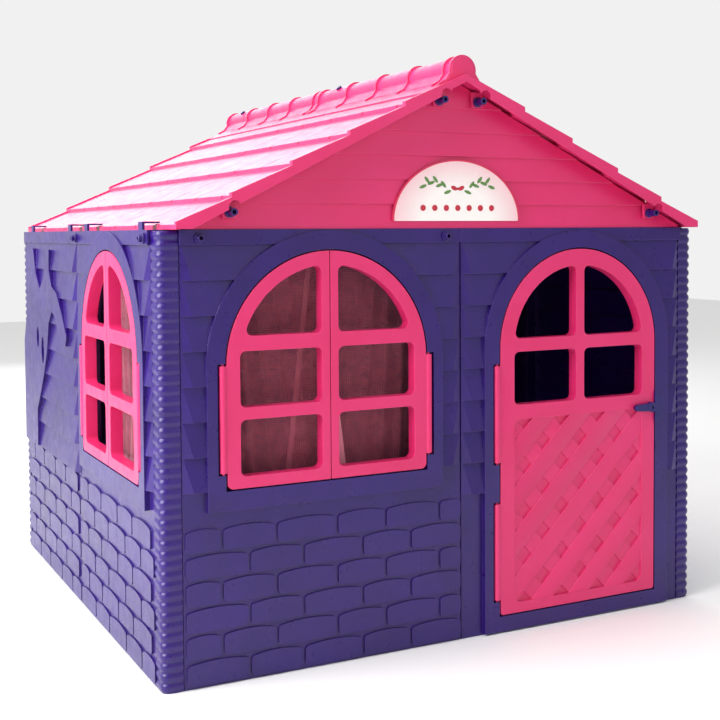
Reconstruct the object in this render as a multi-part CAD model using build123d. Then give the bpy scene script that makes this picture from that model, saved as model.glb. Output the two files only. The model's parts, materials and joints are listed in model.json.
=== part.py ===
"""Moulded plastic playhouse: clapboard wall panels, ribbed corner posts, tiled roof, door and shutters.

Millimetres, +Z up. The front faces -Y. The origin is on the ground under the middle of the house.
Every wall panel is drawn facing -Y with its outer base plane on y = 0, then turned to its wall.
"""
import math
import os

from build123d import *

# ---- overall sizes ----
wall_width = 1250.0          # between the base planes of the left and right walls
wall_depth = 1200.0          # between the base planes of the front and back walls
wall_height = 848.0
roof_overhang = 45.0         # roof past the front and back walls
eave_inset = 20.0            # roof eave inside the side walls' base planes

# ---- moulded walls ----
skin = 3.0                   # moulded wall thickness
rim_depth = 30.0             # depth of each panel's rim behind its base plane
post_size = 38.0             # corner post, square in plan
side_groove = 1.5            # open groove between a panel's face and what it stands beside
groove_depth = 8.0
running_gap = 3.0            # air around a shutter or the door
pin_clearance = 0.35

# ---- clapboards, bricks and top band ----
plank_pitch = 65.0
plank_flare = 9.0            # how far a plank's bottom edge stands out
plank_root = 1.5
band_height = 28.0           # plain band along the top of a wall
band_flare = 8.0
brick_zone = 297.0
brick_rows = 6
brick_joint = 6.0
brick_relief = 4.0
brick_crown = 6.0            # rise of a brick's arched top
end_slope = 0.4              # plank ends slope back to the base plane
short_row = (67.0, 104.0, 121.5, 101.0, 117.0, 104.0)
long_row = (121.5, 105.0, 121.5, 102.0, 121.5, 104.0)

tree_relief_height = 13.0

# ---- window ----
sash_half = 212.0
sash_bottom = 366.0
sash_spring = 594.5          # where the straight sides end and the round head starts
trim_width = 36.0            # flat frame around an opening
trim_relief = 11.0
trim_foot = 40.0             # trim below a window opening
leaf_depth = 26.0            # front face to back edge of a shutter or the door
meeting_gap = 2.0
stile = 26.5
meeting_stile = 17.5
pane_rows = ((388.0, 494.0), (517.0, 622.0))
arch_pane_bottom = 650.0
pane_radius = 12.0

# ---- hinges ----
barrel_radius = 7.0
barrel_depth = 4.0           # barrel axis behind the leaf's front face
stub_radius = 2.5
stub_length = 10.0
notch_gap = 4.0
window_barrels = ((397.0, 596.0),)
door_barrels = ((71.0, 273.0), (360.0, 562.0))

# ---- door ----
door_half = 204.5
door_bottom = 38.0
door_spring = 598.5
door_offset = 8.0            # door centre, off the middle of its panel
door_stile = 34.5
door_meeting = 10.5
door_pane_row = (478.0, 589.5)
door_arch_pane_bottom = 617.0
field_half = 169.5           # lattice field
field_bottom = 60.0
field_top = 447.0
field_radius = 18.0
lattice_pitch = 68.0
lattice_width = 40.0
door_rim = 12.0              # shallow rim behind the door opening, so that the latch can pass it

# ---- latch ----
latch_height = 449.0
latch_inset = 13.0           # latch axis inside the door's free edge
latch_shaft = 5.0
latch_boss = 9.0
latch_reach = 47.0
latch_disc = 37.0

# ---- curtain gear ----
rod_height = 832.5
rod_span = 261.0             # curtain bolt, each side of the window's middle
bolt_radius = 7.0
bolt_bore = 3.5
bolt_proud = 20.0            # curtain bolt past the wall's base plane
rod_radius = 4.0
rod_back = 52.0              # curtain rod behind the base plane
curtain_drop = 475.0
curtain_thick = 5.0
curtain_overlap = 70.0

# ---- roof ----
eave_height = 857.0          # outer edge of the lowest tiles
roof_rise = 0.5              # rise over run along the tile edges
course_run = 120.0
last_course = 105.0          # the course at the eave is shorter
courses = 5
tile_step = 9.0
tile_shell = 3.0
tile_width = 150.0
tile_groove = 2.5
barge_rise = 5.0             # raised strip along the front and back edges
barge_width = 12.0
barge_height = 29.0
barge_thick = 4.0
notch_radius = 13.0
notch_spots = (45.0, 492.0)  # roof bolts, from the ridge
tile_offsets = (-10.0, 46.0, -44.0, 5.0, 58.0)

# ---- gable ----
gable_pitch = 48.4
gable_flare = 5.0
gable_depth = 25.0
sign_half = 150.0
sign_height = 123.0
sign_thick = 4.0
sign_lift = 15.0             # sign above the wall's top

# ---- ridge cap ----
cap_top = 1190.0
cap_radius = 26.0
cap_reach = 84.0             # skirt's edge, from the ridge line
cap_length = 631.0
cap_rib = 7.0
cap_rib_rise = 4.0
rib_spots = (4.0, 160.0, 310.0, 455.0, 600.0, 626.5)
cap_bolt_spot = 100.0

# ---- corner posts and eave hooks ----
post_round = 15.0
hook_width = 25.0
hook_rise = 15.5
hook_grip = 6.0              # hook over the eave
hook_tongue = 3.2
hook_thick = 5.0
hook_spots = (30.0, 440.0)

eave_half = wall_width / 2 - eave_inset
roof_length = wall_depth + 2 * roof_overhang
seam_x = -wall_width / 2 + 635.5
leaf_front = trim_relief
barrel_out = leaf_front - barrel_depth
os.makedirs("parts", exist_ok=True)


def save(part, name):
    """Write one node's STEP file."""
    part.label = name
    export_step(part, f"parts/{name}.step")


def slab(x0, x1, y0, y1, z0, z1):
    """Box between two corners."""
    return Pos((x0 + x1) / 2, (y0 + y1) / 2, (z0 + z1) / 2) * Box(x1 - x0, y1 - y0, z1 - z0)


def upright(face, out_from, out_to):
    """Extrude a face drawn in X and Z between two distances outward from the base plane."""
    solid = extrude(Plane.XZ * face, amount=out_to - out_from)
    return Pos(0, -out_from, 0) * solid


def rod_z(radius, x, out, z0, z1):
    """Vertical cylinder at a distance outward from the base plane."""
    return Pos(x, -out, (z0 + z1) / 2) * Cylinder(radius, z1 - z0)


def rod_y(radius, x, z, out_from, out_to):
    """Cylinder square to the wall."""
    return Pos(x, -(out_from + out_to) / 2, z) * Rot(90, 0, 0) * Cylinder(radius, out_to - out_from)


def arch(half, bottom, spring, corner=0.0):
    """Round-headed opening: straight sides up to the spring line, then a half circle."""
    outline = [
        Line((-half, spring), (-half, bottom)),
        Line((-half, bottom), (half, bottom)),
        Line((half, bottom), (half, spring)),
        ThreePointArc((half, spring), (0, spring + half), (-half, spring)),
    ]
    face = make_face(outline)
    if corner:
        lower = face.vertices().filter_by(lambda v: v.Y < bottom + 1)
        face = fillet(lower, corner)
    return face


def rect(x0, x1, z0, z1):
    """Rectangle between two corners, as a flat face."""
    return Pos((x0 + x1) / 2, (z0 + z1) / 2) * Rectangle(x1 - x0, z1 - z0)


# ---- wall panels ----
def wall_line(plank_foot):
    """Outer line of a wall in (outward, height), from the ground to the top edge."""
    band_foot = wall_height - band_height
    line = [(0, 0)]
    planks = int((band_foot - plank_foot) // plank_pitch)
    foot = band_foot - planks * plank_pitch
    line.append((0, foot))
    for plank in range(planks):
        low = foot + plank * plank_pitch
        line.append((plank_flare, low))
        line.append((plank_root, low + plank_pitch))
    line.append((band_flare, band_foot))
    line.append((band_flare, wall_height))
    return line


def wall_prism(line, width, back):
    """Solid between a wall line and a plane behind it."""
    points = [(-out, z) for out, z in line]
    points += [(back, line[-1][1]), (back, line[0][1])]
    face = Plane.YZ * make_face(Polyline(*points, close=True))
    return Pos(-width / 2, 0, 0) * extrude(face, amount=width)


def end_wedges(width, inset, depth):
    """Prisms that slope the ends of the planks back to the base plane."""
    reach = plank_flare + 6 + depth
    top = wall_height - band_height - inset
    wedges = []
    for side in (-1, 1):
        edge = side * (width / 2 - inset)
        corners = [(edge, depth), (edge, -reach + depth), (edge - side * reach / end_slope, -reach + depth)]
        face = make_face(Polyline(*corners, close=True))
        wedges.append(extrude(face, amount=top))
    return wedges


def panel_shell(width, plank_foot):
    """Moulded skin with a rim all round its back."""
    line = wall_line(plank_foot)
    body = wall_prism(line, width, rim_depth)
    inner = [(out - skin, z + skin) for out, z in line]
    inner[0] = (-skin, skin)
    inner[-1] = (band_flare - skin, wall_height - skin)
    cavity = wall_prism(inner, width - 2 * skin, rim_depth + 1)
    body = body - end_wedges(width, 0, 0)
    cavity = cavity - end_wedges(width, skin, skin)
    body = body - cavity
    for side in (-1, 1):
        x = side * (width / 2 - side_groove / 2)
        groove = Pos(x, 0, wall_height / 2) * Box(side_groove, groove_depth, wall_height + 2)
        body = body - groove
    return body


def brick(x0, x1, z0, z1):
    """One pillow brick with an arched top and soft edges."""
    top = z1 - brick_crown
    middle = (x0 + x1) / 2
    crown = min(brick_crown, (x1 - x0) * 0.08)
    outline = [
        Line((x0, top), (x0, z0)),
        Line((x0, z0), (x1, z0)),
        Line((x1, z0), (x1, top)),
        ThreePointArc((x1, top), (middle, top + crown), (x0, top)),
    ]
    face = make_face(outline)
    face = fillet(face.vertices(), min(8.0, (x1 - x0) / 3))
    return upright(face, -skin / 2, brick_relief)


def brick_field(width):
    """Rows of bricks over a panel's foot."""
    pitch = brick_zone / brick_rows
    bricks = []
    left = -width / 2 + side_groove + 5
    right = width / 2 - side_groove - 1
    for row in range(brick_rows):
        lengths = short_row if row % 2 == 1 else long_row
        z1 = (row + 1) * pitch
        z0 = z1 - pitch + brick_joint
        x = left
        for length in lengths:
            end = min(x + length, right)
            if end - x > 18:
                bricks.append(brick(x, end, z0, z1))
            x = x + length + brick_joint
    return bricks


def trim_ring(half, bottom, spring, foot, x):
    """Raised flat frame round an arched opening."""
    outer = arch(half + running_gap + trim_width, bottom - foot, spring)
    return Pos(x, 0, 0) * upright(outer, -skin, trim_relief)


def open_panel(panel, half, bottom, spring, foot, rim, barrels, hands, x):
    """Cut an arched opening with its trim, rim, hinge notches and hinge bores."""
    hole_half = half + running_gap
    hole = arch(hole_half, bottom - running_gap, spring)
    clear = arch(hole_half + trim_width - 4, bottom - foot + 4, spring)
    panel = panel - Pos(x, 0, 0) * upright(clear, -skin - 9, 30)
    panel = panel + trim_ring(half, bottom, spring, foot, x)
    lip = arch(hole_half + skin, bottom - running_gap - skin, spring)
    panel = panel + Pos(x, 0, 0) * upright(lip, -rim, -skin + 0.5)
    panel = panel - Pos(x, 0, 0) * upright(hole, -rim - 1, 30)
    axis = half + barrel_radius
    for side in hands:
        for low, high in barrels:
            edge = axis + barrel_radius + notch_gap
            spans = sorted((x + side * (hole_half - 1), x + side * edge))
            back_out = barrel_out - barrel_radius - 1
            notch = slab(*spans, -30, -back_out, low - notch_gap, high + notch_gap)
            wall = slab(*spans, -back_out, -back_out + skin, low - notch_gap - skin, high + notch_gap + skin)
            panel = panel + wall - notch
            for z, way in ((low - notch_gap, -1), (high + notch_gap, 1)):
                bore_end = z + way * (stub_length - notch_gap + 1.5)
                bore = rod_z(stub_radius + pin_clearance, x + side * axis, barrel_out,
                             min(z - way, bore_end), max(z - way, bore_end))
                panel = panel - bore
    return panel


def eave_hooks(width):
    """Hooks on a side wall's top that hold the roof's eave."""
    hooks = []
    for spot in hook_spots:
        x0 = width / 2 - spot - hook_width
        x1 = x0 + hook_width
        top = wall_height + hook_rise
        hooks.append(slab(x0, x1, -band_flare, hook_thick - band_flare, wall_height - 2, top))
        hooks.append(slab(x0, x1, -band_flare, eave_inset + hook_grip, top - hook_tongue, top))
    return hooks


def bolt_holes(x):
    """Holes through the top band for the curtain bolts."""
    return [rod_y(bolt_radius + pin_clearance, x + s * rod_span, rod_height, -12, 30) for s in (-1, 1)]


def window_panel(width, hooks):
    """Panel with an arched window over bricks."""
    panel = panel_shell(width, sash_bottom - 5)
    panel = panel + brick_field(width)
    panel = open_panel(panel, sash_half, sash_bottom, sash_spring, trim_foot, rim_depth,
                       window_barrels, (-1, 1), 0)
    panel = panel - bolt_holes(0)
    if hooks:
        panel = panel + eave_hooks(width)
    return panel


def plain_panel(width, hooks):
    """Panel with clapboards over bricks."""
    panel = panel_shell(width, brick_zone + 2)
    panel = panel + brick_field(width)
    if hooks:
        panel = panel + eave_hooks(width)
    return panel


def tree_relief():
    """Tree standing out of the clapboards, with two knots."""
    trunk = [(-272, 300), (-123, 300), (-120, 395), (-80, 440), (-32, 500), (5, 560), (24, 622)]
    branch = [(60, 655), (105, 640), (135, 600), (200, 580), (212, 604), (165, 655), (112, 702), (62, 716)]
    crown = [(36, 752), (40, 806), (4, 796), (-18, 742), (-70, 704), (-118, 742), (-146, 806), (-186, 800)]
    rear = [(-184, 730), (-216, 655), (-250, 606), (-272, 560)]
    points = trunk + branch + crown + rear
    face = make_face(Polyline(*points, close=True))
    corners = face.vertices().filter_by(lambda v: v.Y > 301)
    face = fillet(corners, 7)
    body = upright(face, -skin / 2, tree_relief_height)
    for x, z, wide, high in ((-102, 581, 13, 26), (-46, 552, 15, 34)):
        knot = Pos(x, z) * Ellipse(wide, high)
        body = body - upright(knot, tree_relief_height - 6, tree_relief_height + 5)
    return body


def door_wall(width):
    """Panel with the arched doorway."""
    panel = panel_shell(width, brick_zone + 2)
    return open_panel(panel, door_half, door_bottom, door_spring, door_bottom - running_gap, door_rim,
                      door_barrels, (-1,), door_offset)


# ---- shutters and door ----
def panes_beside(half, edge_stile, middle_stile, rows, arch_foot, spring):
    """Openings left of a leaf's middle: square panes and one under the round head."""
    x0 = -(half - edge_stile)
    x1 = -middle_stile
    faces = [fillet(rect(x0, x1, low, high).vertices(), pane_radius) for low, high in rows]
    head = Pos(0, spring) * Circle(half - edge_stile)
    head = head & rect(x0 - 1, x1, arch_foot, spring + half)
    faces.append(fillet(head.vertices(), pane_radius))
    return faces


def moulded_leaf(face):
    """Leaf with a hollow back."""
    back = leaf_front - leaf_depth
    body = upright(face, back, leaf_front)
    hollow = offset(face, -skin, kind=Kind.INTERSECTION)
    return body - upright(hollow, back - 1, leaf_front - skin)


def barrel(half, low, high):
    """Hinge barrel on a leaf's left edge, with a stub at each end."""
    axis = half + barrel_radius
    body = rod_z(barrel_radius, -axis, barrel_out, low, high)
    web_back = -(barrel_out - barrel_radius)
    body = body + slab(-axis, -half + skin, -leaf_front, web_back, low, high)
    return body + rod_z(stub_radius, -axis, barrel_out, low - stub_length, high + stub_length)


def shutter_leaf():
    """Left shutter of a pair, hinged on its left edge."""
    face = arch(sash_half, sash_bottom, sash_spring, pane_radius)
    face = face & rect(-sash_half - 1, -meeting_gap / 2, sash_bottom - 1, sash_spring + sash_half + 1)
    for pane in panes_beside(sash_half, stile, meeting_stile, pane_rows, arch_pane_bottom, sash_spring):
        face = face - pane
    leaf = moulded_leaf(face)
    for low, high in window_barrels:
        leaf = leaf + barrel(sash_half, low, high)
    return leaf


def lattice(field):
    """Woven strips over the door's lower field: one set unbroken, the other under it."""
    reach = 2 * field_top
    middle = (field_bottom + field_top) / 2
    layers = []
    for turn, top in ((45, leaf_front - 2), (-45, leaf_front - 3.6)):
        strips = None
        for step in range(-6, 7):
            strip = Pos(0, step * lattice_pitch) * Rectangle(reach, lattice_width)
            strip = Pos(0, middle) * Rot(0, 0, turn) * strip
            strips = strip if strips is None else strips + strip
        layers.append(upright(strips & field, leaf_front - 7, top))
    return layers


def door_leaf():
    """Door with four panes over a lattice field, hinged on its left edge."""
    face = arch(door_half, door_bottom, door_spring, 6)
    for pane in panes_beside(door_half, door_stile, door_meeting, (door_pane_row,), door_arch_pane_bottom,
                             door_spring):
        face = face - pane - mirror(pane, Plane.YZ)
    field = fillet(rect(-field_half, field_half, field_bottom, field_top).vertices(), field_radius)
    leaf = moulded_leaf(face - field)
    tray = upright(offset(field, skin), leaf_front - 7 - skin, leaf_front - 7)
    leaf = leaf + tray + lattice(field)
    for low, high in door_barrels:
        leaf = leaf + barrel(door_half, low, high)
    x = door_half - latch_inset
    boss = rod_y(latch_boss, x, latch_height, leaf_front - leaf_depth, leaf_front - 1)
    bore = rod_y(latch_shaft + pin_clearance, x, latch_height, -40, 40)
    return leaf + boss - bore


def latch_lever():
    """Turning lever with its shaft through the door and a half disc that laps the frame."""
    x = door_half - latch_inset
    z = latch_height
    seat = leaf_front + 0.6
    hub = rod_y(11, x, z, seat, seat + 11)
    arm = make_face([
        Line((x, z + 9), (x - latch_reach + 7, z + 7)),
        ThreePointArc((x - latch_reach + 7, z + 7), (x - latch_reach, z), (x - latch_reach + 7, z - 7)),
        Line((x - latch_reach + 7, z - 7), (x, z - 9)),
        Line((x, z - 9), (x, z + 9)),
    ])
    arm = upright(arm, seat + 2.5, seat + 9.5)
    disc = Pos(x, z) * Circle(latch_disc) & rect(x + latch_inset - 1, x + latch_disc + 1, z - 50, z + 50)
    disc = upright(disc, seat, seat + 5)
    bridge = slab(x, x + latch_inset + 4, -seat - 4, -seat, z - 6, z + 6)
    socket = rod_y(4, x, z, seat + 8, seat + 12)
    shaft = rod_y(latch_shaft, x, z, leaf_front - leaf_depth - 6, seat + 4)
    return hub + arm + disc + bridge + shaft - socket


def latch_tongue():
    """Locking tongue on the shaft's inner end, behind the door."""
    x = door_half - latch_inset
    z = latch_height
    face = Pos(x, z - 16) * SlotCenterToCenter(32, 15, 90)
    back = leaf_front - leaf_depth - 0.4
    body = upright(face, back - 4, back) + rod_y(9, x, z, back - 5.5, back)
    return body - rod_y(latch_shaft, x, z, -40, 0)


# ---- curtain gear ----
def curtain_bolts():
    """Pair of hollow bolts through a window panel's top band."""
    bolts = []
    for side in (-1, 1):
        x = side * rod_span
        bolt = rod_y(bolt_radius, x, rod_height, -rod_back - rod_radius - 4, bolt_proud)
        bolt = bolt + rod_y(bolt_radius + 3, x, rod_height, band_flare + 0.2, band_flare + 4.2)
        bolt = chamfer(bolt.faces().sort_by(Axis.Y)[0].edges(), 1)
        hexagon = Pos(0, rod_height) * RegularPolygon(bolt_bore + 0.8, 6)
        socket = Pos(x, 0, 0) * upright(hexagon, bolt_proud - 12, bolt_proud + 1)
        cross = Pos(x, rod_back, rod_height) * Rot(0, 90, 0) * Cylinder(rod_radius + 0.3, 30)
        bolts.append(bolt - socket - cross)
    return bolts


def curtain_rod():
    """Rod that carries a pair of curtains."""
    return Pos(0, rod_back, rod_height) * Rot(0, 90, 0) * Cylinder(rod_radius, 2 * rod_span + 24)


def curtain(side):
    """One curtain's space: a thin panel hanging just under the rod."""
    top = rod_height - rod_radius - 0.2
    edge = rod_span - bolt_radius - 3
    spans = sorted((side * edge, -side * curtain_overlap))
    near = rod_back + 1 if side > 0 else rod_back - 1 - curtain_thick
    return slab(*spans, near, near + curtain_thick, top - curtain_drop, top)


# ---- corner posts ----
def corner_post():
    """Hollow post with a rounded outer corner, for the front left; the others are turned copies."""
    x0 = -wall_width / 2
    y0 = -wall_depth / 2
    plan = rect(x0, x0 + post_size, y0, y0 + post_size)
    corner = plan.vertices().sort_by(lambda v: v.X + v.Y)[0]
    post = extrude(fillet(corner, post_round), amount=wall_height)
    core = rect(x0 + skin, x0 + post_size - skin, y0 + skin, y0 + post_size - skin)
    corner = core.vertices().sort_by(lambda v: v.X + v.Y)[0]
    return post - extrude(fillet(corner, post_round - skin), amount=wall_height)


# ---- roof ----
def tile_edge(run):
    """Height of the line through the tiles' lower edges, at a distance from the ridge."""
    return eave_height + roof_rise * (eave_half - run)


def course_edges():
    """Distances from the ridge at which each course of tiles ends."""
    edges = [eave_half - last_course - k * course_run for k in range(courses - 1)]
    return sorted(edges) + [eave_half]


def tile_line():
    """Outer line of the stepped tiles, from the ridge to the eave."""
    slope = (roof_rise * course_run - tile_step) / course_run
    edges = course_edges()
    line = [(0, tile_edge(edges[0]) + slope * edges[0])]
    for edge in edges:
        line.append((edge, tile_edge(edge)))
        if edge < eave_half:
            line.append((edge, tile_edge(edge) - tile_step))
    return line


def roof_prism(points, y0, length):
    """Extrude an outline in (distance from ridge, height) along the house."""
    face = Plane.XZ * make_face(Polyline(*points, close=True))
    return Pos(0, y0 + length, 0) * extrude(face, amount=length)


def under_line():
    """Inner line of the tiles, from the eave to the ridge."""
    inner = [(run - tile_shell, z - 2) for run, z in reversed(tile_line())]
    inner[-1] = (0, tile_line()[0][1] - 3.3)
    return inner


def tile_grooves():
    """Grooves between the tiles of every course, deeper where a tile ends."""
    edges = course_edges()
    line = tile_line()
    cuts = []
    for course, edge in enumerate(edges):
        start, end = line[2 * course], line[2 * course + 1]
        depth = 1.3
        groove = [(start[0] + 3, start[1] - depth - 1), (end[0] + 1, end[1] - depth), (end[0] + 1, end[1] + 9),
                  (start[0] + 3, start[1] + 9)]
        notch = [(end[0] - 7, end[1] - 6), (end[0] + 1, end[1] - 6), (end[0] + 1, end[1] + 5),
                 (end[0] - 7, end[1] + 7)]
        reach = roof_length / 2 - barge_width - 20
        count = int(2 * reach // tile_width) + 1
        for k in range(-count, count + 1):
            y = tile_offsets[course] + k * tile_width
            if abs(y) < reach:
                cuts.append(roof_prism(groove, y - tile_groove / 2, tile_groove))
                cuts.append(roof_prism(notch, y - tile_groove, 2 * tile_groove))
    return cuts


def bolt_line(run):
    """Height of a roof bolt's axis."""
    return tile_edge(run) - 34


def roof_slope():
    """Right slope: stepped tiles, barge strips, fascias, eave lip and bolt lugs."""
    line = tile_line()
    lip = [(eave_half, wall_height), (eave_half - 6, wall_height)]
    shell = roof_prism(line + lip + [(eave_half - 6, eave_height - 2)] + under_line()[1:],
                       -roof_length / 2, roof_length)
    raised = [(run, z + barge_rise) for run, z in line]
    strip = raised + under_line()
    foot = wall_height + 1
    low = barge_height - barge_rise
    flat = eave_half - (tile_edge(eave_half) - low - foot) / -roof_rise
    step = notch_spots[0] - notch_radius + 2
    fascia = raised + [(eave_half, foot), (flat, foot), (step, tile_edge(step) - low),
                       (step, tile_edge(step) - low + 4), (0, tile_edge(0) - low + 4)]
    slope = shell - tile_grooves()
    for side in (-1, 1):
        end = side * roof_length / 2
        slope = slope + roof_prism(strip, min(end, end - side * barge_width), barge_width)
        slope = slope + roof_prism(fascia, min(end, end - side * barge_thick), barge_thick)
    for side in (-1, 1):
        for run in notch_spots:
            z = bolt_line(run)
            near = wall_depth / 2 + gable_flare + 1
            ys = sorted((side * near, side * (near + 6)))
            lug = slab(run - 13, run + 13, *ys, z - 11, tile_edge(run) - tile_step - 5)
            slope = slope + lug
            bore = Pos(run, side * near, z) * Rot(90, 0, 0) * Cylinder(bolt_radius + pin_clearance, 60)
            slope = slope - bore
            notch = Pos(run, side * roof_length / 2, tile_edge(run) - 26)
            slope = slope - notch * Rot(90, 0, 0) * Cylinder(notch_radius, 3 * barge_thick)
    return slope


def gable():
    """Front gable: planks between the wall's top and the roof."""
    drop = tile_step + tile_shell + 2.4
    half = eave_half - 22

    def under(run, inset):
        return tile_edge(run) - drop - inset * 1.12

    line = []
    planks = int((tile_edge(0) - wall_height) // gable_pitch) + 1
    for plank in range(planks):
        low = wall_height + plank * gable_pitch
        line.append((gable_flare, low))
        line.append((0.5, low + gable_pitch))
    top = line[-1][1]

    def triangle(inset):
        foot = wall_height + inset
        points = [(-half + inset, foot), (half - inset, foot), (half - inset, under(half - inset, inset)),
                  (0, under(0, inset)), (-half + inset, under(half - inset, inset))]
        return upright(make_face(Polyline(*points, close=True)), -60, 40)

    def prism(rows, back):
        points = [(-out, z) for out, z in rows] + [(back, rows[-1][1]), (back, rows[0][1])]
        face = Plane.YZ * make_face(Polyline(*points, close=True))
        return Pos(-half - 1, 0, 0) * extrude(face, amount=2 * half + 2)

    body = prism(line, gable_depth) & triangle(0)
    inner = [(out - skin, z + skin) for out, z in line] + [(0.5 - skin, top + 40)]
    body = body - (prism(inner, gable_depth + 1) & triangle(skin))
    for side in (-1, 1):
        for run in notch_spots:
            body = body - rod_y(bolt_radius + pin_clearance, side * run, bolt_line(run), -40, 20)
    return body


def roof_bolts():
    """Four hollow bolts that hold the roof's lugs to the front gable."""
    bolts = []
    head = roof_overhang - barge_thick - 3
    for side in (-1, 1):
        for run in notch_spots:
            z = bolt_line(run)
            bolt = rod_y(bolt_radius, side * run, z, -skin - 14, head)
            bolt = bolt + rod_y(bolt_radius + 3, side * run, z, gable_flare + 7.3, gable_flare + 11)
            socket = upright(Pos(side * run, z) * RegularPolygon(bolt_bore + 0.8, 6), head - 12, head + 1)
            bolts.append(bolt - socket)
    return bolts


def sign_plate():
    """Round-topped plate on the front gable."""
    foot = wall_height + sign_lift
    arc = EllipticalCenterArc((0, foot), sign_half, sign_height, start_angle=0, arc_size=180)
    face = make_face([arc, Line((-sign_half, foot), (sign_half, foot))])
    return upright(face, gable_flare + 0.2, gable_flare + 0.2 + sign_thick)


# ---- ridge cap ----
def cap_face(grow):
    """Region under a ridge cap's outline, grown outward by a wall or a rib."""
    slope = (roof_rise * course_run - tile_step) / course_run
    ridge = tile_line()[0][1]
    centre = cap_top - cap_radius
    radius = cap_radius + grow
    skirt = ridge - slope * cap_reach + 0.4
    waist = 40.0
    waist_z = ridge - slope * waist + 0.4 + skin + 4 + grow
    left = [(-cap_reach, skirt + skin + grow), (-waist, waist_z), (-radius, centre - 6)]
    right = [(-x, z) for x, z in reversed(left)]
    foot_z = skirt - (0 if grow >= 0 else 8)
    peak = ridge + 0.4 - (0 if grow >= 0 else 8)
    outline = [
        Polyline((-cap_reach, foot_z), *left),
        ThreePointArc(left[-1], (0, cap_top + grow), right[0]),
        Polyline(*right, (cap_reach, foot_z)),
        Polyline((cap_reach, foot_z), (0, peak), (-cap_reach, foot_z)),
    ]
    return make_face(outline)


def cap_prism(face, y0, length):
    """Extrude a ridge section along the house."""
    return Pos(0, y0 + length, 0) * extrude(Plane.XZ * face, amount=length)


def cap_bolt_place(y):
    """Frames of the two bolts through a cap's flanks, square to its round top."""
    centre = cap_top - cap_radius
    return [Pos(0, y, centre) * Rot(0, side * 38, 0) for side in (-1, 1)]


def ridge_cap(y0, closed_end):
    """One section of the ridge cap with its ribs, bolt holes and the wall that closes its outer end."""
    body = cap_prism(cap_face(0) - cap_face(-skin), y0, cap_length)
    body = body + cap_prism(cap_face(0), closed_end, skin)
    ribs = cap_face(cap_rib_rise) - cap_face(-0.5)
    ribs = ribs & rect(-56, 56, 1000, cap_top + 20)
    for spot in rib_spots:
        body = body + cap_prism(ribs, y0 + cap_length - spot - cap_rib / 2, cap_rib)
    for frame in cap_bolt_place(y0 + cap_length - cap_bolt_spot):
        body = body - frame * Cylinder(4.4, 3 * cap_radius)
    return body


def cap_bolts():
    """Bolts through both ridge cap sections."""
    bolts = []
    for y0 in (-cap_length, 0):
        for frame in cap_bolt_place(y0 + cap_length - cap_bolt_spot):
            head = Pos(0, 0, cap_radius + 2.7) * Cylinder(bolt_radius, 5)
            shank = Pos(0, 0, cap_radius - 8) * Cylinder(4, 20)
            socket = Pos(0, 0, cap_radius + 5) * extrude(RegularPolygon(3.6, 6), amount=4)
            bolts.append(frame * (head + shank - socket))
    return bolts


# ---- assembly ----
def on_wall(part, wall, along=0.0):
    """Turn a piece drawn facing the front on to one of the four walls."""
    places = {
        "front": Pos(along, -wall_depth / 2, 0),
        "left": Pos(-wall_width / 2, along, 0) * Rot(0, 0, -90),
        "right": Pos(wall_width / 2, along, 0) * Rot(0, 0, 90),
        "back": Pos(along, wall_depth / 2, 0) * Rot(0, 0, 180),
    }
    return places[wall] * part


def group(solids):
    """Several separate solids in one node."""
    return Compound(children=list(solids))


front_left = -wall_width / 2 + post_size
front_right = wall_width / 2 - post_size
window_width = seam_x - front_left
door_width = front_right - seam_x
side_width = (wall_depth - 2 * post_size) / 2
back_width = (wall_width - 2 * post_size) / 2
window_x = (front_left + seam_x) / 2
door_x = (seam_x + front_right) / 2 + door_offset
near_side = -side_width / 2
far_side = side_width / 2

save(on_wall(window_panel(window_width, False), "front", window_x), "front_window_panel")
save(on_wall(door_wall(door_width), "front", door_x - door_offset), "front_door_panel")
side_window = window_panel(side_width, True)
side_plain = plain_panel(side_width, True)
side_tree = side_plain + tree_relief()
back_plain = plain_panel(back_width, False)
save(on_wall(side_window, "left", near_side), "left_window_panel")
save(on_wall(side_tree, "left", far_side), "left_tree_panel")
save(on_wall(side_plain, "right", near_side), "right_plain_panel")
save(on_wall(side_window, "right", far_side), "right_window_panel")
save(on_wall(back_plain, "back", -back_width / 2), "back_left_panel")
save(on_wall(back_plain, "back", back_width / 2), "back_right_panel")

post = corner_post()
save(post, "corner_post_front_left")
save(mirror(post, Plane.YZ), "corner_post_front_right")
save(mirror(post, Plane.XZ), "corner_post_back_left")
save(Rot(0, 0, 180) * post, "corner_post_back_right")

leaf = shutter_leaf()
gear = group(curtain_bolts())
for wall, along in (("front", window_x), ("left", near_side), ("right", far_side)):
    save(on_wall(leaf, wall, along), f"{wall}_shutter_left")
    save(on_wall(mirror(leaf, Plane.YZ), wall, along), f"{wall}_shutter_right")
    save(on_wall(gear, wall, along), f"{wall}_curtain_bolts")
    save(on_wall(curtain_rod(), wall, along), f"{wall}_curtain_rod")
    save(on_wall(curtain(-1), wall, along), f"{wall}_curtain_left")
    save(on_wall(curtain(1), wall, along), f"{wall}_curtain_right")

save(on_wall(door_leaf(), "front", door_x), "door")
save(on_wall(latch_lever(), "front", door_x), "latch_lever")
save(on_wall(latch_tongue(), "front", door_x), "latch_tongue")

slope = roof_slope()
save(slope, "roof_slope_right")
save(mirror(slope, Plane.YZ), "roof_slope_left")
save(on_wall(gable(), "front"), "front_gable")
save(on_wall(gable(), "back"), "back_gable")
save(on_wall(group(roof_bolts()), "front"), "front_roof_bolts")
save(on_wall(group(roof_bolts()), "back"), "back_roof_bolts")
save(on_wall(sign_plate(), "front"), "sign_plate")
save(ridge_cap(-cap_length, -cap_length), "ridge_cap_front")
save(ridge_cap(0, cap_length - skin), "ridge_cap_rear")
save(group(cap_bolts()), "ridge_bolts")
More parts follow.
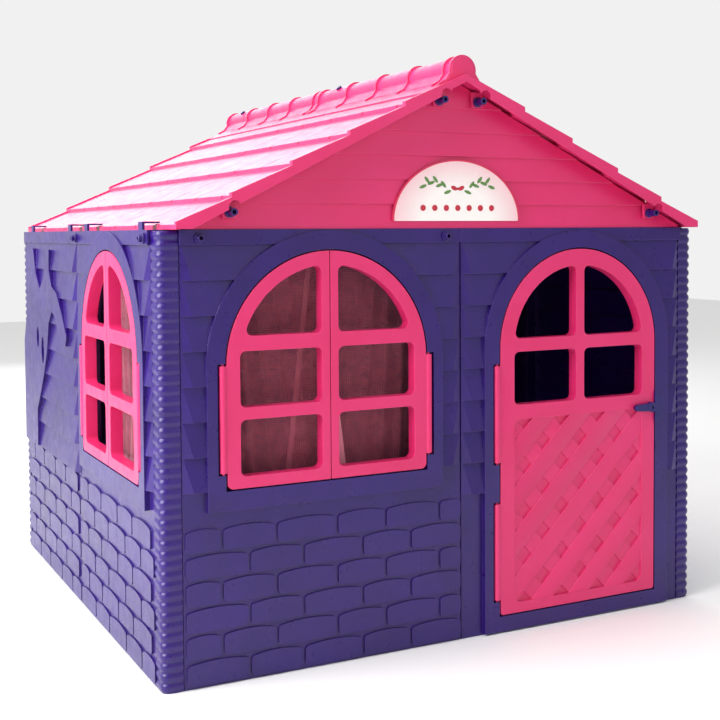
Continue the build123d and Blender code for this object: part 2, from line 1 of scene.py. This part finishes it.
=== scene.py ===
import bpy
import bmesh
import json
from math import sin, cos, pi, radians
from mathutils import Matrix, Vector


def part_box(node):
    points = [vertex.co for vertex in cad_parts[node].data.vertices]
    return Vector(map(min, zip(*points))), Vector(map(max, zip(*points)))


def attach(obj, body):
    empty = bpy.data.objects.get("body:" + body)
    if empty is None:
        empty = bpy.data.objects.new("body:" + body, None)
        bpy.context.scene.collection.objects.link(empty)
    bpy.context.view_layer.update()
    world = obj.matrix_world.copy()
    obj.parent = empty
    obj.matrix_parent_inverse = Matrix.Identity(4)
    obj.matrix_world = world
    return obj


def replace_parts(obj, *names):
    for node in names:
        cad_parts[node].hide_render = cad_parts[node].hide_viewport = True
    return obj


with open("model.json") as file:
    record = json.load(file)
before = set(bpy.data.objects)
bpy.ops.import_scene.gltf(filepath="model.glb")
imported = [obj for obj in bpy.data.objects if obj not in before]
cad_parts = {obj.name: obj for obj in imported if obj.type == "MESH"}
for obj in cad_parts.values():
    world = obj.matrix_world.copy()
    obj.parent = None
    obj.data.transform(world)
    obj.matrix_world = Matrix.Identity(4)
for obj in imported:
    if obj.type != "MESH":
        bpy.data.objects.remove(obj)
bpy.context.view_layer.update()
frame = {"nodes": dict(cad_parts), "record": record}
print("loaded", len(frame["nodes"]), "nodes")


# Shared helpers for colours and shader nodes.
def linear(hexCode):
    parts = [int(hexCode[i:i + 2], 16) / 255 for i in (1, 3, 5)]
    return tuple(c / 12.92 if c <= 0.04045 else ((c + 0.055) / 1.055) ** 2.4 for c in parts) + (1.0,)


def addNode(tree, kind, sockets=None, **settings):
    node = tree.nodes.new(kind)
    for name, value in settings.items():
        setattr(node, name, value)
    for name, value in (sockets or {}).items():
        if isinstance(value, bpy.types.NodeSocket):
            tree.links.new(value, node.inputs[name])
        else:
            node.inputs[name].default_value = value
    return node


def perMetre(millimetres):
    return 1000 / millimetres


# A wave texture at scale 1 repeats every 2 pi / 20 units.
def waveScale(millimetres):
    return perMetre(millimetres) * 2 * pi / 20


def startMaterial(name):
    material = bpy.data.materials.new(name)
    material.use_nodes = True
    material.node_tree.nodes.clear()
    return material, material.node_tree


def endMaterial(tree, sockets):
    shader = addNode(tree, "ShaderNodeBsdfPrincipled", sockets)
    addNode(tree, "ShaderNodeOutputMaterial", {"Surface": shader.outputs[0]})


def objectPlace(tree):
    return addNode(tree, "ShaderNodeTexCoord").outputs["Object"]


def noise(tree, place, millimetres, **more):
    sockets = {"Vector": place, "Scale": perMetre(millimetres), **more}
    return addNode(tree, "ShaderNodeTexNoise", sockets).outputs[0]


def remap(tree, value, onto, span=(0.0, 1.0)):
    sockets = {"Value": value, 1: span[0], 2: span[1], 3: onto[0], 4: onto[1]}
    return addNode(tree, "ShaderNodeMapRange", sockets).outputs[0]


def blendColours(tree, factor, first, second):
    mix = addNode(tree, "ShaderNodeMix", {0: factor, 6: first, 7: second}, data_type="RGBA")
    return mix.outputs[2]


def bumpNormal(tree, height, strength, depth, **more):
    sockets = {"Strength": strength, "Distance": depth, "Height": height, **more}
    return addNode(tree, "ShaderNodeBump", sockets).outputs[0]


# Injection-moulded polypropylene: satin skin, faint flow marks, and a painted highlight: a paler colour along the
# edges, broken up by the dust noise.
# A look gives the sizes of its marks in millimetres; bumpDepth is in metres. paintedHighlightTurns holds the
# cosines of the turn between the true and the rounded normal at which the painted edge highlight starts and is
# full.
mouldedSkin = {"ior": 1.49, "bumpStrength": 0.12, "bumpDepth": 0.0004, "paintedHighlightTurns": (0.995, 0.80), "paintedHighlightMost": 0.4,
               "dustSpan": (0.3, 0.7), "flowTwist": 0.6}


def mouldedPolypropylene(name, look):
    material, tree = startMaterial(name)
    place = objectPlace(tree)
    flow = noise(tree, place, look["flowMarks"], Detail=3.0, Distortion=mouldedSkin["flowTwist"])
    dust = noise(tree, place, look["dust"], Detail=5.0)
    peel = noise(tree, place, look["peel"], Detail=1.0)
    body = blendColours(tree, flow, linear(look["deep"]), linear(look["bright"]))
    rounded = addNode(tree, "ShaderNodeBevel", {"Radius": look["edge"] / 1000}, samples=4).outputs[0]
    facing = addNode(tree, "ShaderNodeNewGeometry").outputs["Normal"]
    turn = addNode(tree, "ShaderNodeVectorMath", {0: rounded, 1: facing}, operation="DOT_PRODUCT")
    # Painted highlight: where the rounded normal turns away from the true one, at the edges, the colour is
    # lightened towards the pale edge colour.
    paintedHighlight = remap(tree, turn.outputs["Value"], (0.0, mouldedSkin["paintedHighlightMost"]), mouldedSkin["paintedHighlightTurns"])
    paintedHighlightMask = addNode(tree, "ShaderNodeMath", {0: paintedHighlight, 1: dust}, operation="MULTIPLY").outputs[0]
    endMaterial(tree, {"Base Color": blendColours(tree, paintedHighlightMask, body, linear(look["paintedHighlightColour"])),
                       "Roughness": remap(tree, dust, look["roughness"], mouldedSkin["dustSpan"]),
                       "IOR": mouldedSkin["ior"],
                       "Normal": bumpNormal(tree, peel, mouldedSkin["bumpStrength"], mouldedSkin["bumpDepth"],
                                            Normal=rounded)})
    return material


# The pale edge colour in each look is a painted highlight along the edges, not a colour of the plastic.
purpleLook = {"deep": "#1F0750", "bright": "#2F1076", "paintedHighlightColour": "#8A76C0", "flowMarks": 140, "dust": 24,
              "peel": 1.8, "edge": 1.6, "roughness": (0.26, 0.36)}
pinkLook = {"deep": "#D6225F", "bright": "#E23276", "paintedHighlightColour": "#FF9CBC", "flowMarks": 160, "dust": 26,
            "peel": 1.8, "edge": 1.6, "roughness": (0.30, 0.42)}
whiteLook = {"deep": "#DAD9D6", "bright": "#E9E8E4", "paintedHighlightColour": "#FFFFFF", "flowMarks": 60, "dust": 9,
             "peel": 1.2, "edge": 0.5, "roughness": (0.24, 0.34)}
latchLook = {**purpleLook, "deep": "#150A52", "bright": "#221574", "paintedHighlightColour": "#6F68B8", "edge": 2.2}
purplePlastic = mouldedPolypropylene("purpleMouldedPolypropylene", purpleLook)
pinkPlastic = mouldedPolypropylene("pinkMouldedPolypropylene", pinkLook)
whitePlastic = mouldedPolypropylene("whiteExtrudedPvc", whiteLook)
latchPlastic = mouldedPolypropylene("indigoMouldedPolypropylene", latchLook)   # bluer than the wall behind it

# Woven voile: a plain weave seen through between its threads, nearly opaque at the turned hems.
# The threads are drawn 4.4 mm apart, far coarser than real ones, so that they show from across a room.
# threadPitch and slub are in millimetres, hem and bumpDepth in metres.
voileLook = {"shade": "#9A4258", "light": "#C0667C", "threadPitch": 4.4, "openAlpha": 0.50, "threadAlpha": 0.58,
             "slub": 30, "hemColour": "#E58CA2", "hemAlpha": 0.93, "hem": 0.011, "roughness": 0.75, "sheen": 0.4,
             "bumpStrength": 0.25, "bumpDepth": 0.0004}


def wovenVoile(name, look):
    material, tree = startMaterial(name)
    cloth = addNode(tree, "ShaderNodeUVMap", uv_map="cloth").outputs[0]
    threads = [addNode(tree, "ShaderNodeTexWave", {"Vector": cloth, "Scale": waveScale(look["threadPitch"])},
                       bands_direction=direction).outputs["Fac"] for direction in ("X", "Y")]
    weave = addNode(tree, "ShaderNodeMath", {0: threads[0], 1: threads[1]}, operation="MAXIMUM").outputs[0]
    slub = noise(tree, cloth, look["slub"], Detail=4.0)
    hem = addNode(tree, "ShaderNodeAttribute", attribute_name="hem").outputs["Fac"]
    plain = blendColours(tree, slub, linear(look["shade"]), linear(look["light"]))
    seenThrough = remap(tree, weave, (look["openAlpha"], look["threadAlpha"]))
    alpha = addNode(tree, "ShaderNodeMix", {0: hem, 2: seenThrough, 3: look["hemAlpha"]}, data_type="FLOAT")
    endMaterial(tree, {"Base Color": blendColours(tree, hem, plain, linear(look["hemColour"])),
                       "Roughness": look["roughness"], "Alpha": alpha.outputs[0], "Sheen Weight": look["sheen"],
                       "Normal": bumpNormal(tree, weave, look["bumpStrength"], look["bumpDepth"])})
    return material


voile = wovenVoile("wovenPolyesterVoile", voileLook)

# Printed plate: white plastic that fades to rose and ends in a pink line at its rim.
# fadeSpan and rimSpan are shares of the way from the middle of the base to the rim; grain is in millimetres.
signLook = {"middle": "#FBF6F3", "rose": "#F6C9CF", "rim": "#D9345A", "fadeSpan": (0.55, 1.0),
            "rimSpan": (0.972, 0.978), "grain": 3.0, "roughness": (0.25, 0.4), "ior": 1.49,
            "bumpStrength": 0.05, "bumpDepth": 0.0003}


def printedPlate(name, look, low, high):
    material, tree = startMaterial(name)
    place = objectPlace(tree)
    centred = addNode(tree, "ShaderNodeVectorMath",
                      {0: place, 1: ((low[0] + high[0]) / 2, low[1], low[2])}, operation="SUBTRACT")
    scaled = addNode(tree, "ShaderNodeVectorMath",
                     {0: centred.outputs[0], 1: (2 / (high[0] - low[0]), 0.0, 1 / (high[2] - low[2]))},
                     operation="MULTIPLY")
    reach = addNode(tree, "ShaderNodeVectorMath", {0: scaled.outputs[0]}, operation="LENGTH").outputs["Value"]
    fade = remap(tree, reach, (0.0, 1.0), look["fadeSpan"])
    rim = remap(tree, reach, (0.0, 1.0), look["rimSpan"])
    field = blendColours(tree, fade, linear(look["middle"]), linear(look["rose"]))
    grain = noise(tree, place, look["grain"])
    endMaterial(tree, {"Base Color": blendColours(tree, rim, field, linear(look["rim"])),
                       "Roughness": remap(tree, grain, look["roughness"]), "IOR": look["ior"],
                       "Normal": bumpNormal(tree, grain, look["bumpStrength"], look["bumpDepth"])})
    return material


# Screen-printed ink: slightly uneven, duller than the plate under it.
inkLook = {"coverage": 6, "roughness": (0.4, 0.6)}


def printedInk(name, first, second):
    material, tree = startMaterial(name)
    coverage = noise(tree, objectPlace(tree), inkLook["coverage"], Detail=4.0)
    endMaterial(tree, {"Base Color": blendColours(tree, coverage, linear(first), linear(second)),
                       "Roughness": remap(tree, coverage, inkLook["roughness"])})
    return material


greenInk = printedInk("greenScreenPrintInk", "#4E7A3A", "#6E9A52")
redInk = printedInk("redScreenPrintInk", "#B01C33", "#CF2C45")
signPlastic = printedPlate("printedStyreneSheet", signLook, *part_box("sign_plate"))

slotMaterials = {"purple_plastic": purplePlastic, "pink_plastic": pinkPlastic, "white_plastic": whitePlastic,
                 "curtain_voile": voile, "sign_board": signPlastic}
for part in frame["record"]["subparts"]:
    mesh = frame["nodes"][part["node"]].data
    mesh.materials.clear()
    mesh.materials.append(slotMaterials[part["material_slot"]])
for node in ("latch_lever", "latch_tongue"):
    frame["nodes"][node].data.materials[0] = latchPlastic
print("materials made")


def finishPiece(name, shape, material, body="house", smoothAngle=35):
    mesh = bpy.data.meshes.new(name)
    shape.to_mesh(mesh)
    shape.free()
    mesh.materials.append(material)
    mesh.shade_smooth()
    mesh.set_sharp_from_angle(angle=radians(smoothAngle))
    piece = bpy.data.objects.new(name, mesh)
    bpy.context.scene.collection.objects.link(piece)
    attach(piece, body)
    return piece


# Shutters and door: copies of the CAD leaves with softened edges, since a mould leaves none sharp.
# radius is only an upper limit: the shortest edges clamp the bevel, so it comes out under a millimetre wide.
# merge and radius are in metres, flat and sharperThan in degrees.
leafEdges = {"merge": 0.00002, "flat": 1.5, "radius": 0.003, "segments": 3, "sharperThan": 40}
leafNodes = [f"{wall}_shutter_{side}" for wall in ("front", "left", "right") for side in ("left", "right")]
leafNodes.append("door")


def softEdgedLeaf(node):
    words = node.split("_")
    shape = bmesh.new()
    shape.from_mesh(frame["nodes"][node].data)
    bmesh.ops.remove_doubles(shape, verts=shape.verts, dist=leafEdges["merge"])
    bmesh.ops.dissolve_limit(shape, angle_limit=radians(leafEdges["flat"]), verts=shape.verts, edges=shape.edges)
    title = words[0] + "".join(word.title() for word in words[1:]) + "Leaf"
    leaf = finishPiece(title, shape, pinkPlastic, node, leafEdges["sharperThan"])
    edges = leaf.modifiers.new("softEdges", "BEVEL")
    edges.width = leafEdges["radius"]
    edges.segments = leafEdges["segments"]
    edges.limit_method = "ANGLE"
    edges.angle_limit = radians(leafEdges["sharperThan"])
    edges.harden_normals = True
    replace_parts(leaf, node)


for node in leafNodes:
    softEdgedLeaf(node)
print("leaves softened")

# Corner posts: a stack of soft ribs that bulge on the two outer faces.
# ribProfile gives, up one rib, the share of its height and the share of its bulge.
postShape = {"ribPitch": 0.0187, "ribBulge": 0.0025, "cornerRadius": 0.015, "cornerSegments": 6,
             "ribProfile": ((0.10, 0.0), (0.24, 0.65), (0.5, 1.0), (0.76, 0.65), (0.90, 0.0))}


def ribbedPost(node, title):
    low, high = (Vector(corner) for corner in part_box(node))
    inner = Vector((min((low.x, high.x), key=abs), min((low.y, high.y), key=abs), 0))
    width = high.x - low.x
    ribs = round(high.z / postShape["ribPitch"])
    pitch = high.z / ribs
    shape = bmesh.new()
    bmesh.ops.create_grid(shape, x_segments=1, y_segments=1, size=width / 2)
    bmesh.ops.translate(shape, verts=shape.verts, vec=((low.x + high.x) / 2, (low.y + high.y) / 2, 0))
    outer = max(shape.verts, key=lambda v: (v.co.xy - inner.xy).length)
    bmesh.ops.bevel(shape, geom=[outer], offset=postShape["cornerRadius"], affect="VERTICES",
                    segments=postShape["cornerSegments"], profile=0.5, material=-1)
    bmesh.ops.delete(shape, geom=list(shape.faces), context="FACES_ONLY")
    ring = list(shape.edges)
    height, swell = 0.0, 1.0
    for rib in range(ribs):
        for share, bulge in postShape["ribProfile"]:
            grown = bmesh.ops.extrude_edge_only(shape, edges=ring)["geom"]
            ring = [e for e in grown if isinstance(e, bmesh.types.BMEdge)]
            verts = [v for v in grown if isinstance(v, bmesh.types.BMVert)]
            level = pitch * (rib + share)
            nextSwell = 1 + bulge * postShape["ribBulge"] / width
            bmesh.ops.translate(shape, verts=verts, vec=(0, 0, level - height))
            bmesh.ops.scale(shape, verts=verts, vec=(nextSwell / swell, nextSwell / swell, 1),
                            space=Matrix.Translation(-inner))
            height, swell = level, nextSwell
    bmesh.ops.holes_fill(shape, edges=shape.edges)
    bmesh.ops.recalc_face_normals(shape, faces=shape.faces)
    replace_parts(finishPiece(title, shape, purplePlastic), node)


for end in ("front", "back"):
    for side in ("left", "right"):
        ribbedPost(f"corner_post_{end}_{side}", f"{end}{side.title()}RibbedPost")
print("posts made")

# Curtains: a pair to a window, gathered on rings, each with its inner edge slanting past the other's.
# Distances are from the window's middle line, in metres. Folds deepen downwards and are shallow in the lap.
curtainCut = {"columns": 120, "rows": 60, "outerEdge": 0.25, "innerTop": {"left": 0.004, "right": -0.014},
              "innerLow": {"left": 0.062, "right": -0.070}, "sheetGap": 0.0035, "dropShare": 0.99,
              "folds": 8, "foldDepth": 0.0045, "foldScale": 0.8, "foldAtTop": 0.55, "lapDepth": 0.0018,
              "lapStarts": 0.09, "lapFade": 0.05, "drift": 1.3, "driftDown": 2.1, "driftAcross": 3,
              "secondFold": 0.25, "secondPhase": 0.7, "hemWave": 0.003, "hemWavesPerFold": 0.5, "sharperThan": 180}
ringShape = {"count": 7, "radius": 0.0072, "wire": 0.001, "wireSides": 8, "steps": 24, "outerShare": 0.975,
             "innerShare": 0.8, "aside": 0.002, "sag": 0.0022, "sharperThan": 60}
# For each wall, the directions along it and into the room.
wallTurns = {"front": ((1, 0, 0), (0, 1, 0)), "left": ((0, -1, 0), (1, 0, 0)), "right": ((0, 1, 0), (-1, 0, 0))}


def wallPlace(wall):
    low, high = (Vector(corner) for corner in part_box(f"{wall}_curtain_rod"))
    along, inward = (Vector(axis) for axis in wallTurns[wall])
    turn = Matrix((along, inward, (0, 0, 1))).transposed().to_4x4()
    return Matrix.Translation((low + high) / 2) @ turn


# share runs from 0 at the outer edge to 1 at the inner one, and fall from 0 at the top to 1 at the hem.
def clothSpot(side, share, fall, top, drop):
    sign = -1 if side == "left" else 1
    outer = sign * curtainCut["outerEdge"]
    innerTop, innerLow = curtainCut["innerTop"][side], curtainCut["innerLow"][side]
    along = outer + (innerTop + (innerLow - innerTop) * fall - outer) * share
    lapped = min(1.0, max(0.0, (curtainCut["lapStarts"] - sign * along) / curtainCut["lapFade"]))
    depth = curtainCut["foldDepth"] * (1 - lapped) + curtainCut["lapDepth"] * lapped
    drift = curtainCut["drift"] * sin(curtainCut["driftDown"] * fall + curtainCut["driftAcross"] * share)
    phase = 2 * pi * curtainCut["folds"] * share + drift
    swing = depth * (curtainCut["foldAtTop"] + (1 - curtainCut["foldAtTop"]) * fall)
    swing *= sin(phase) + curtainCut["secondFold"] * sin(2 * phase + curtainCut["secondPhase"])
    wave = curtainCut["hemWave"] * fall * sin(phase * curtainCut["hemWavesPerFold"])
    return (along, sign * curtainCut["sheetGap"] + swing * curtainCut["foldScale"],
            top - drop * fall * curtainCut["dropShare"] - wave)


def hangRings(wall, side, title):
    sign = -1 if side == "left" else 1
    first = sign * curtainCut["outerEdge"] * ringShape["outerShare"]
    last = curtainCut["innerTop"][side] * ringShape["innerShare"]
    rings = bmesh.new()
    for step in range(ringShape["count"]):
        hoop = bmesh.new()
        bmesh.ops.create_circle(hoop, segments=ringShape["wireSides"], radius=ringShape["wire"])
        bmesh.ops.rotate(hoop, verts=hoop.verts, matrix=Matrix.Rotation(pi / 2, 3, "X"))
        bmesh.ops.translate(hoop, verts=hoop.verts, vec=(ringShape["radius"], 0, 0))
        bmesh.ops.spin(hoop, geom=list(hoop.edges), cent=(0, 0, 0), axis=(0, 0, 1), angle=2 * pi,
                       steps=ringShape["steps"], use_merge=True)
        bmesh.ops.recalc_face_normals(hoop, faces=hoop.faces)
        spot = first + (last - first) * step / (ringShape["count"] - 1)
        bmesh.ops.rotate(hoop, verts=hoop.verts, matrix=Matrix.Rotation(pi / 2, 3, "Y"))
        bmesh.ops.translate(hoop, verts=hoop.verts, vec=(spot + sign * ringShape["aside"], 0, -ringShape["sag"]))
        joined = bpy.data.meshes.new("hoop")
        hoop.to_mesh(joined)
        hoop.free()
        rings.from_mesh(joined)
        bpy.data.meshes.remove(joined)
    bmesh.ops.transform(rings, matrix=wallPlace(wall), verts=rings.verts)
    return finishPiece(f"{title}Rings", rings, whitePlastic, smoothAngle=ringShape["sharperThan"])


def hangCurtain(wall, side):
    low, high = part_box(f"{wall}_curtain_{side}")
    rodLow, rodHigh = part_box(f"{wall}_curtain_rod")
    top, drop = high[2] - (rodLow[2] + rodHigh[2]) / 2, high[2] - low[2]
    width = curtainCut["outerEdge"] + abs(curtainCut["innerLow"][side])
    shape = bmesh.new()
    bmesh.ops.create_grid(shape, x_segments=curtainCut["columns"], y_segments=curtainCut["rows"], size=0.5)
    cloth = shape.loops.layers.uv.new("cloth")
    hem = shape.verts.layers.float.new("hem")
    spots = {v: (v.co.x + 0.5, 0.5 - v.co.y) for v in shape.verts}
    for vert, (share, fall) in spots.items():
        vert.co = clothSpot(side, share, fall, top, drop)
        nearEdge = min((1 - share) * width, (1 - fall) * drop)
        vert[hem] = 1.0 if nearEdge < voileLook["hem"] else 0.0
    for face in shape.faces:
        for corner in face.loops:
            share, fall = spots[corner.vert]
            corner[cloth].uv = (share * width, fall * drop)
    bmesh.ops.transform(shape, matrix=wallPlace(wall), verts=shape.verts)
    area = sum(face.calc_area() for face in shape.faces)
    title = f"{wall}{side.title()}Curtain"
    piece = finishPiece(title, shape, voile, smoothAngle=curtainCut["sharperThan"])
    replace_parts(piece, f"{wall}_curtain_{side}")
    ringPiece = hangRings(wall, side, title)


for wall in wallTurns:
    for side in ("left", "right"):
        hangCurtain(wall, side)
print("curtains hung")

# Sign print: two leafy sprigs, a small bow and a row of round berries.
# Places are from the middle of the plate's base, in metres; a size is half the width and half the height.
inkShape = {"depth": 0.0005, "sides": 18}
sprigShape = {"leaves": 7, "leaf": (0.0085, 0.0032), "starts": 0.024, "step": 0.0095, "height": 0.062,
              "arch": 0.018, "archShare": 0.8, "stagger": 0.004, "leanUp": 50, "leanDown": -20}
berryShape = {"berries": 7, "berry": (0.0062, 0.0062), "step": 0.027, "height": 0.026}
bowShape = {"loop": (0.0075, 0.0042), "loopSpot": (0.0085, 0.066), "loopTurn": 25, "knot": (0.0028, 0.0028),
            "knotHeight": 0.065}
signLow, signHigh = (Vector(corner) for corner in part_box("sign_plate"))
signMiddle = (signLow.x + signHigh.x) / 2


def inkSpot(shape, x, z, size, turn=0.0):
    made = bmesh.ops.create_circle(shape, cap_ends=True, segments=inkShape["sides"], radius=1)["verts"]
    place = Matrix.Translation((signMiddle + x, signLow.y, signLow.z + z)) @ Matrix.Rotation(-turn, 4, "Y")
    place = place @ Matrix.Diagonal((size[0], 1, size[1], 1)) @ Matrix.Rotation(pi / 2, 4, "X")
    bmesh.ops.transform(shape, matrix=place, verts=made)


def thicken(shape):
    grown = bmesh.ops.extrude_face_region(shape, geom=list(shape.faces), use_keep_orig=True)["geom"]
    bmesh.ops.translate(shape, verts=[v for v in grown if isinstance(v, bmesh.types.BMVert)],
                        vec=(0, -inkShape["depth"], 0))
    bmesh.ops.recalc_face_normals(shape, faces=shape.faces)


sprigs = bmesh.new()
for side in (-1, 1):
    for leaf in range(sprigShape["leaves"]):
        out = sprigShape["starts"] + leaf * sprigShape["step"]
        archTurn = leaf / (sprigShape["leaves"] - 1) * pi * sprigShape["archShare"]
        height = sprigShape["height"] + sprigShape["arch"] * sin(archTurn)
        upper = leaf % 2 == 1
        height += sprigShape["stagger"] if upper else -sprigShape["stagger"]
        lean = radians(sprigShape["leanUp"] if upper else sprigShape["leanDown"])
        inkSpot(sprigs, side * out, height, sprigShape["leaf"], side * lean)
thicken(sprigs)
finishPiece("signLeafPrint", sprigs, greenInk)
berries = bmesh.new()
for berry in range(berryShape["berries"]):
    along = (berry - (berryShape["berries"] - 1) / 2) * berryShape["step"]
    inkSpot(berries, along, berryShape["height"], berryShape["berry"])
for side in (-1, 1):
    inkSpot(berries, side * bowShape["loopSpot"][0], bowShape["loopSpot"][1], bowShape["loop"],
            side * radians(bowShape["loopTurn"]))
inkSpot(berries, 0, bowShape["knotHeight"], bowShape["knot"])
thicken(berries)
finishPiece("signBerryPrint", berries, redInk)
print("sign printed")

# Studio: pale paper floor, soft light mostly from the left, camera at a child's eye level.
floorShape = {"colour": "#F4F3F3", "halfWidth": 9, "segments": 8, "below": 0.0005, "fibre": 5,
              "roughness": (0.7, 0.85)}
softboxes = {"keySoftbox": {"spot": (-3.2, -0.6, 2.1), "target": (-0.4, 0, 0.6), "size": 2.4, "watts": 175},
             "frontSoftbox": {"spot": (0.9, -3.4, 1.9), "target": (0, -0.6, 0.5), "size": 2.2, "watts": 9},
             "topSoftbox": {"spot": (-0.8, -0.4, 3.4), "target": (0, 0, 1), "size": 2.6, "watts": 40},
             # The rear one gleams along the left roof slope.
             "rearSoftbox": {"spot": (0.7, 4.4, 2.5), "target": (-0.2, 0, 1), "size": 3.0, "watts": 72}}
# The sky is dimmer towards the front, between these two headings.
skyLook = {"colour": "#FFFFFF", "headings": (-0.7, 0.3), "strength": (0.5, 0.88)}
cameraView = {"spot": (-1.2584, -2.6469, 0.8402), "yaw": 26.867, "down": 2.511, "roll": -0.368, "lens": 58.86,
              "sensor": 36, "shiftX": 0.002, "shiftY": -0.105}


def studioFloor():
    shape = bmesh.new()
    bmesh.ops.create_grid(shape, x_segments=floorShape["segments"], y_segments=floorShape["segments"],
                          size=floorShape["halfWidth"])
    mesh = bpy.data.meshes.new("paperFloor")
    shape.to_mesh(mesh)
    shape.free()
    material, tree = startMaterial("matteBackdropPaper")
    fibre = noise(tree, objectPlace(tree), floorShape["fibre"], Detail=3.0)
    endMaterial(tree, {"Base Color": linear(floorShape["colour"]),
                       "Roughness": remap(tree, fibre, floorShape["roughness"])})
    mesh.materials.append(material)
    floor = bpy.data.objects.new("paperFloor", mesh)
    floor.location.z = -floorShape["below"]
    bpy.context.scene.collection.objects.link(floor)


def softbox(name, spot, target, size, watts):
    light = bpy.data.lights.new(name, "AREA")
    light.energy = watts
    light.size = size
    lamp = bpy.data.objects.new(name, light)
    lamp.location = spot
    lamp.rotation_euler = (Vector(target) - Vector(spot)).to_track_quat("-Z", "Y").to_euler()
    lamp.visible_camera = False
    bpy.context.scene.collection.objects.link(lamp)


def studioSky():
    sky = bpy.data.worlds.new("studioWhite")
    sky.use_nodes = True
    tree = sky.node_tree
    around = addNode(tree, "ShaderNodeTexCoord").outputs["Generated"]
    heading = addNode(tree, "ShaderNodeSeparateXYZ", {0: around}).outputs["Y"]
    backdrop = tree.nodes["Background"]
    backdrop.inputs[0].default_value = linear(skyLook["colour"])
    tree.links.new(remap(tree, heading, skyLook["strength"], skyLook["headings"]), backdrop.inputs[1])
    bpy.context.scene.world = sky


def studioCamera():
    yaw, down, roll = (radians(cameraView[key]) for key in ("yaw", "down", "roll"))
    forward = Vector((sin(yaw) * cos(down), cos(yaw) * cos(down), -sin(down)))
    right = Vector((cos(yaw), -sin(yaw), 0))
    up = right.cross(forward)
    tiltedRight = right * cos(roll) + up * sin(roll)
    tiltedUp = up * cos(roll) - right * sin(roll)
    lens = bpy.data.cameras.new("studioCamera")
    lens.lens = cameraView["lens"]
    lens.sensor_width = cameraView["sensor"]
    lens.shift_x = cameraView["shiftX"]
    lens.shift_y = cameraView["shiftY"]
    camera = bpy.data.objects.new("studioCamera", lens)
    turn = Matrix((tiltedRight, tiltedUp, -forward)).transposed().to_4x4()
    camera.matrix_world = Matrix.Translation(cameraView["spot"]) @ turn
    bpy.context.scene.collection.objects.link(camera)
    bpy.context.scene.camera = camera


studioFloor()
for name, box in softboxes.items():
    softbox(name, **box)
studioSky()
bpy.context.scene.view_settings.view_transform = "Standard"   # keeps the plastics as vivid as they are
studioCamera()
print("studio set")
